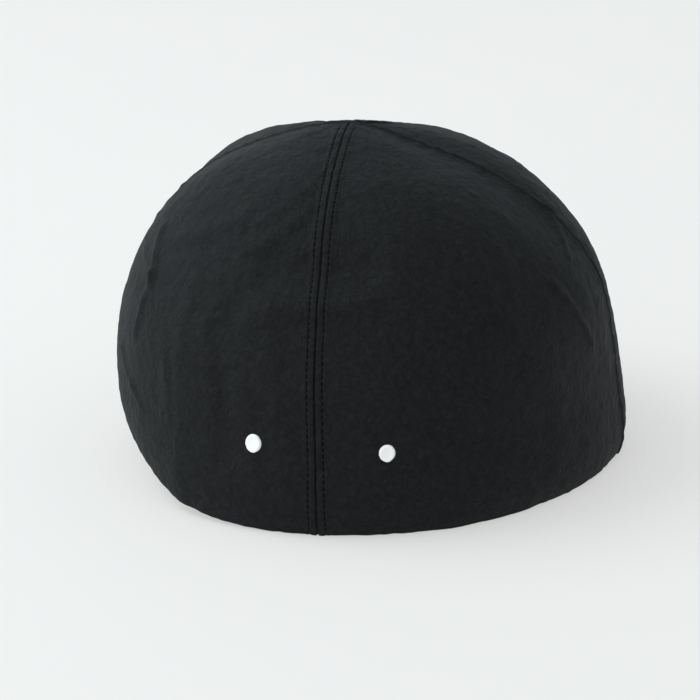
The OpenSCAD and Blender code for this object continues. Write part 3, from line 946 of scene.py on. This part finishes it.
def peak_cloth(name, side, stands_for):
    """One side of the peak cover, rolled over at the outer edge, with two rows of topstitching sunk in."""
    f, s = np.meshgrid(np.linspace(-1, 1, 121), 1 - (1 - np.linspace(0, 1, 44)) ** 1.5, indexing="ij")
    middle = peak_middle(f, s)
    board = 1.35
    cloth = 0.8
    full = np.sqrt(np.clip(1 - (np.clip(s - 0.9, 0, 1) / 0.1) ** 2, 0, 1))
    full *= np.sqrt(np.clip(1 - (np.clip(np.abs(f) - 0.96, 0, 1) / 0.04) ** 2, 0, 1)) * 0.9 + 0.1
    from_edge = (1 - s) * PEAK_OUT
    dips = sum(-0.3 * np.exp(-(((from_edge - row) / 0.7) ** 2)) for row in (5, 10))
    soft = 0.18 * noise_at(middle, 6, 4.4) + 0.3 * noise_at(middle, 19, 6.1)
    up = np.array([0, 0, 1.0]) * side
    outer = middle + up * ((board + cloth) * full + (dips + soft * 0.6) * full)[..., None]
    inner = middle + up * (board * full)[..., None]
    points, faces = two_sided(outer, inner)
    uv = cloth_uv(f * HALF_W, s * PEAK_OUT)
    piece = build(name, points, faces, COVER, "cover", stands_for, "cover_cloth", uv)
    lines = []
    for row in (5, 10):
        f1 = np.linspace(-0.94, 0.94, 500)
        s1 = np.full(500, 1 - row / PEAK_OUT)
        m = peak_middle(f1, s1)
        puckers = 0.6 * (0.18 * noise_at(m, 6, 4.4) + 0.3 * noise_at(m, 19, 6.1))
        at = m + up * (board + cloth - 0.3 + puckers)[..., None]
        lines += stitch_row(at, np.broadcast_to(up, at.shape))
    return lines


# ---------------- liner
SHELL_RIM = 9
EAR_RISE = 16
VENT_HALF_W = 3.5
VENT_HALF_L = 12
VENT_UP = 28
VENT_STEP = 7


def rim_z(a):
    return SHELL_RIM + EAR_RISE * np.abs(sind(a)) ** 3


def vent_cutters():
    """Long rounded prisms that point out of the shell, in pairs between the pads."""
    turn = np.radians(np.arange(0, 181, 12))
    shift = VENT_HALF_L - VENT_HALF_W
    arc_up = np.stack([VENT_HALF_W * np.cos(turn), shift + VENT_HALF_W * np.sin(turn)], -1)
    outline = np.concatenate([arc_up, -arc_up])
    points, faces = [], []
    for a0 in range(45, 360, 90):
        for side in (-VENT_STEP, VENT_STEP):
            a = a0 + side
            out = np.array([cosd(VENT_UP) * sind(a), cosd(VENT_UP) * cosd(a), sind(VENT_UP)])
            across = np.array([cosd(a), -sind(a), 0])
            up = np.cross(across, out) * -1
            start = sum(len(p) for p in points)
            n = len(outline)
            for far in (70, 130):
                points.append(far * out + outline[:, :1] * across + outline[:, 1:] * up)
            faces.append([start + k for k in range(n)])
            faces.append([start + n + k for k in reversed(range(n))])
            for k in range(n):
                after = (k + 1) % n
                faces.append([start + k, start + n + k, start + n + after, start + after])
    return np.concatenate(points), faces


def smooth_shell():
    a = np.linspace(0, 360, 181)[:-1, None]
    half = SHELL_T / 2
    low = rim_z(a) + half
    z = low + (1 - low / SHELL_H) * rise(np.linspace(0, 1, 64), SHELL_H)[None]
    roll = np.radians([90, 67, 45, 22])[None]
    roll_z = low - half * np.sin(roll)
    outer = np.concatenate([in_shell(a, roll_z, half * (1 - np.cos(roll))), in_shell(a, z, 0)], 1)
    inner = np.concatenate([in_shell(a, roll_z, half * (1 + np.cos(roll))), in_shell(a, z, SHELL_T)], 1)
    wall = two_sided(outer, inner, ring=True)
    piece = build("hard_shell", *wall, SHELL, "liner", ["shell"], "shell_plastic")
    points, faces = vent_cutters()
    cutter = build("vent_cutter", points, faces, SHELL, "liner")
    cut = piece.modifiers.new("vents", "BOOLEAN")
    cut.object = cutter
    cut.operation = "DIFFERENCE"
    cut.solver = "EXACT"
    bevel = piece.modifiers.new("edges", "BEVEL")
    bevel.width = 0.35 * MM
    bevel.segments = 2
    bevel.limit_method = "ANGLE"
    bevel.angle_limit = math.radians(55)
    apply_modifiers(piece)
    bpy.data.objects.remove(cutter)


def apply_modifiers(piece):
    view = bpy.context.evaluated_depsgraph_get()
    mesh = bpy.data.meshes.new_from_object(piece.evaluated_get(view))
    piece.modifiers.clear()
    piece.data = mesh


def shell_pad(name, a0, a1, t0, t1, stands_for):
    """Foam pad on the shell: flat against the plastic, crowned towards the head, with two sewn channels."""
    u, v = np.meshgrid(np.linspace(-1, 1, 91), np.linspace(-1, 1, 61), indexing="ij")
    x, y = rounded(u, v)
    a = a0 + (a1 - a0) * (x + 1) / 2
    z = rise(t0 + (t1 - t0) * (y + 1) / 2, SHELL_H)
    full = rolled(u, v, 0.09)
    near = SHELL_T + PAD_GAP
    crowned = 0.62 + 0.38 * (1 - np.abs(u) ** 3) * (1 - np.abs(v) ** 3)
    channels = sum(np.exp(-(((u - at) / 0.035) ** 2)) for at in (-0.34, 0.34))
    welt = np.exp(-(((1 - np.maximum(np.abs(u), np.abs(v)) - 0.11) / 0.025) ** 2))
    thick = PAD_T * (crowned - 0.4 * channels * full - 0.16 * welt)
    soft = 0.15 * noise_at(hard_shell(a, z), 7, 2.4)
    edge = 0.9
    outer = in_shell(a, z, near + edge * (1 - full))
    inner = in_shell(a, z, near + edge + (thick + soft - edge) * full)
    points, faces = two_sided(outer, inner)
    piece = build(name, points, faces, FOAM, "liner", [stands_for], "foam")


def crown_pad():
    a = np.linspace(0, 360, 145)[:-1, None]
    r = (1 - np.linspace(0, 1, 40) ** 1.2)[None]
    m = roundness(a)
    k = (46 + 5 * cosd(4 * a)) * r / SHELL_HALF_W
    z = BULGE_Z + (SHELL_H - BULGE_Z) * (1 - k**m) ** (1 / m)
    full = np.sqrt(np.clip(1 - (np.clip(r - 0.9, 0, 0.1) / 0.1) ** 2, 0, 1)) + 0 * a
    arms = np.exp(-((np.abs(sind(2 * a)) * 46 * r / 1.6) ** 2)) * (r > 0.3)
    ring = np.exp(-(((r - 0.5) / 0.035) ** 2))
    crowned = 0.7 + 0.3 * (1 - r**3)
    channels = 0.3 * np.maximum(ring, arms * 0.9) * full
    thick = PAD_T * (crowned - channels - 0.14 * np.exp(-(((r - 0.87) / 0.02) ** 2)))
    edge = 0.9
    near = SHELL_T + PAD_GAP
    outer = in_shell(a, z, near + edge * (1 - full))
    inner = in_shell(a, z, near + edge + (thick - edge) * full)
    pad = two_sided(outer, inner, ring=True)
    piece = build("crown_pad_foam", *pad, FOAM, "liner", ["pad_crown"], "foam")


def sweatband():
    """Towelling folded round a foam strip, with soft swells between its cross stitches."""
    a = np.linspace(ELASTIC_HALF, 360 - ELASTIC_HALF, 421)[:, None]
    around = np.radians(np.linspace(0, 360, 49)[:-1])[None]
    wide, tall = BAND_T / 2, BAND_H / 2 - 0.6
    x = np.sign(np.cos(around)) * np.abs(np.cos(around)) ** 0.45
    y = np.sign(np.sin(around)) * np.abs(np.sin(around)) ** 0.75
    every = 11.5
    swell = 1 - np.exp(-((((a - ELASTIC_HALF) % every - every / 2) / 0.5) ** 2))
    end = np.sqrt(np.clip(1 - np.clip((np.abs(a - 180) - 152) / 1.0, 0, 1) ** 2, 0.02, 1))
    inward = np.where(x > 0, 0.35 + 0.65 * swell, 1.0)
    pinch = 1 - 0.3 * np.exp(-(((np.abs(y) - 0.82) / 0.04) ** 2))
    depth = BAND_T / 2 + wide * x * inward * pinch * end
    z = BAND_H / 2 + tall * y * (0.985 + 0.015 * end)
    points = band_at(a, depth + 0.35 * (x > 0) * (1 - y**2) * swell * end, z)
    nu, nv = points.shape[:2]
    faces = []
    for i in range(nu - 1):
        for j in range(nv):
            k = (j + 1) % nv
            faces.append((i * nv + j, i * nv + k, (i + 1) * nv + k, (i + 1) * nv + j))
    faces.append(list(range(nv)))
    faces.append([(nu - 1) * nv + j for j in reversed(range(nv))])
    inside = ["sweatband_cloth", "sweatband_foam"]
    piece = build("sweatband_towelling", points.reshape(-1, 3), faces, BAND, "liner", inside, "band_cloth")
    lines = []
    for z_row in (2.6, BAND_H - 2.6):
        angle = np.linspace(ELASTIC_HALF + 1, 359 - ELASTIC_HALF, 1500)
        p = band_at(angle, BAND_T * 0.9, z_row)
        n = np.stack([-sind(angle), -cosd(angle), 0 * angle], -1)
        lines += stitch_row(p, n)
    build("sweatband_stitching", *tubes(lines, STITCH_RADII), BLACK_THREAD_AND_PAINTED_SHADE, "liner", (), "band_cloth")


def elastic():
    """Woven elastic at the back of the sweatband, gathered into even ribs."""
    a = np.linspace(-ELASTIC_HALF - 1.0, ELASTIC_HALF + 1.0, 385)[:, None]
    z = np.linspace(0.3, BAND_H - 4, 33)[None]
    ribs = 0.45 * np.cos(np.radians((a + ELASTIC_HALF) * 180 / 1.12))
    wander = 0.25 * noise_at(band_at(a, 0.0, z) * (1, 1, 0.4), 5, 8.8)
    from_edge = np.minimum(np.linspace(-1, 1, 33) + 1, 1 - np.linspace(-1, 1, 33))[None]
    half = 0.55 * np.sqrt(np.clip(1 - (1 - np.clip(from_edge / 0.06, 0, 1)) ** 2, 0, 1))
    middle = 1.15 + ribs * (0.6 + 0.4 * np.clip(from_edge * 4, 0, 1)) + wander
    outer, inner = band_at(a, middle - half, z), band_at(a, middle + half, z)
    points, faces = two_sided(outer, inner)
    uv = cloth_uv(np.radians(a) * SHELL_HALF_L, z)
    piece = build("elastic_back", points, faces, ELASTIC, "liner", ["sweatband_elastic"], "elastic", uv)


def snap_studs():
    """Round snap studs on the shell wall, behind the free top of the sweatband."""
    cap = [(0, 0.55), (0.5, 0.62), (1.1, 0.62), (1.35, 0.35), (1.9, 0.3), (2.3, 0.5), (2.75, 0.5)]
    profile = cap + [(3.0, 0.28), (3.0, -0.55), (2.8, -0.72), (0, -0.75)]
    parts = []
    for a in range(40, 321, 56):
        out = np.array([sind(a) / SHELL_HALF_W, cosd(a) / SHELL_HALF_L, 0])
        out /= np.linalg.norm(out)
        across, up = np.cross([0, 0, 1.0], out), np.array([0, 0, 1.0])
        centre = band_at(float(a), 0.0, BAND_H - 3.2) - out * 1.1
        turn = np.radians(np.arange(0, 360, 10))
        circle = np.cos(turn)[:, None] * across + np.sin(turn)[:, None] * up
        points = np.concatenate([centre + r * circle - h * out for r, h in profile])
        n = len(turn)
        faces = []
        for i in range(len(profile) - 1):
            for k in range(n):
                after = (k + 1) % n
                faces.append((i * n + k, i * n + after, (i + 1) * n + after, (i + 1) * n + k))
        parts.append((points, faces))
    return build("snap_studs", *merged(parts), STUD, "liner", ["sweatband_studs"], "stud_plastic")


# ---------------- floor, light and camera
ROOM_LEFT = 1.42
ROOM_RIGHT = 0.4


def studio():
    size = 8.0
    mesh = bpy.data.meshes.new("floor")
    floor_z = float(cad_box[0].z)
    around = ((-size, -size), (size, -size), (size, size), (-size, size))
    mesh.from_pydata([(x, y, floor_z) for x, y in around], [], [(0, 1, 2, 3)])
    mesh.materials.append(pale_floor())
    floor = bpy.data.objects.new("floor", mesh)
    bpy.context.scene.collection.objects.link(floor)
    world = bpy.data.worlds.new("studio")
    bpy.context.scene.world = world
    world.use_nodes = True
    tree = world.node_tree
    background = tree.nodes["Background"]
    background.inputs["Color"].default_value = (0.93, 0.985, 1, 1)
    # The room is brighter on the picture's left than on its right
    toward = tree.nodes.new("ShaderNodeVectorMath")
    toward.operation = "DOT_PRODUCT"
    toward.inputs[1].default_value = -view_axes()[0]
    tree.links.new(tree.nodes.new("ShaderNodeTexCoord").outputs["Generated"], toward.inputs[0])
    across = tree.nodes.new("ShaderNodeMapRange")
    across.inputs["From Min"].default_value = -1
    across.inputs["To Min"].default_value = ROOM_RIGHT
    across.inputs["To Max"].default_value = ROOM_LEFT
    tree.links.new(toward.outputs["Value"], across.inputs["Value"])
    tree.links.new(across.outputs["Result"], background.inputs["Strength"])


def area_light(name, place, target, size, power, colour=(1, 1, 1)):
    light = bpy.data.lights.new(name, "AREA")
    light.shape = "DISK"
    light.size = size
    light.energy = power
    light.color = colour
    lamp = bpy.data.objects.new(name, light)
    lamp.location = place
    lamp.rotation_mode = "QUATERNION"
    lamp.rotation_quaternion = (Vector(target) - Vector(place)).to_track_quat("-Z", "Y")
    bpy.context.scene.collection.objects.link(lamp)


CAMERA_TURN = math.radians(9.3)
CAMERA_TILT = math.radians(17.1)
CAMERA_AWAY = 1.2
LENS = 151.8
AIM_HEIGHT = 0.06
AIM_RIGHT = -0.00483
AIM_UP = -0.01995


def view_axes():
    t, e = CAMERA_TURN, CAMERA_TILT
    back = Vector((-math.sin(t) * math.cos(e), math.cos(t) * math.cos(e), math.sin(e)))
    right = Vector((-math.cos(t), -math.sin(t), 0))
    return right, back.cross(right), back


def camera():
    right, up, back = view_axes()
    data = bpy.data.cameras.new("camera")
    data.sensor_width = 36
    data.lens = LENS
    data.clip_start = 0.05
    cam = bpy.data.objects.new("camera", data)
    bpy.context.scene.collection.objects.link(cam)
    target = Vector((0, 0, AIM_HEIGHT)) + right * AIM_RIGHT + up * AIM_UP
    cam.location = target + back * CAMERA_AWAY
    cam.rotation_mode = "QUATERNION"
    cam.rotation_quaternion = (-back).to_track_quat("-Z", "Y")
    bpy.context.scene.camera = cam


def lights():
    right, _, back = view_axes()
    target = Vector((0, 0, 0.07))
    high = Vector((0, 0, 1))
    area_light("key", target - right * 1.15 + high * 1.2 - back * 0.1, target, 1.4, 11.5, (0.9, 0.98, 1.0))
    area_light("front", target - right * 1.0 + high * 1.0 + back * 1.0, target, 1.7, 1.5)


# ---------------- assembly
panel("crown_back_left", 0, "panel_back_left")
panel("crown_back_right", -90, "panel_back_right")
panel("crown_front_left", 90, "panel_front_left")
panel("crown_front_right", 180, "panel_front_right")
crown_topstitching()
facing()
long_tape()
side_tapes()
embroidered_spots()
top_lines = peak_cloth("peak_top_cover", 1, ["peak_top_cloth"])
under_lines = peak_cloth("peak_under_cover", -1, ["peak_under_cloth"])
build("peak_topstitching", *tubes(top_lines + under_lines, STITCH_RADII), BLACK_THREAD_AND_PAINTED_SHADE, "cover", (), "tape")

loop_patches()

smooth_shell()
shell_pad("front_pad_foam", 155, 205, 0.3, 0.6, "pad_front")
shell_pad("back_pad_foam", -25, 25, 0.3, 0.6, "pad_back")
shell_pad("left_pad_foam", 66, 114, 0.32, 0.6, "pad_left")
shell_pad("right_pad_foam", 246, 294, 0.32, 0.6, "pad_right")
crown_pad()
sweatband()
elastic()
snap_studs()
hook_patches()

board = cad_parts["peak_board"]
board.data.materials.clear()
board.data.materials.append(BOARD)

studio()
camera()
lights()
bpy.context.scene.view_settings.view_transform = "Standard"
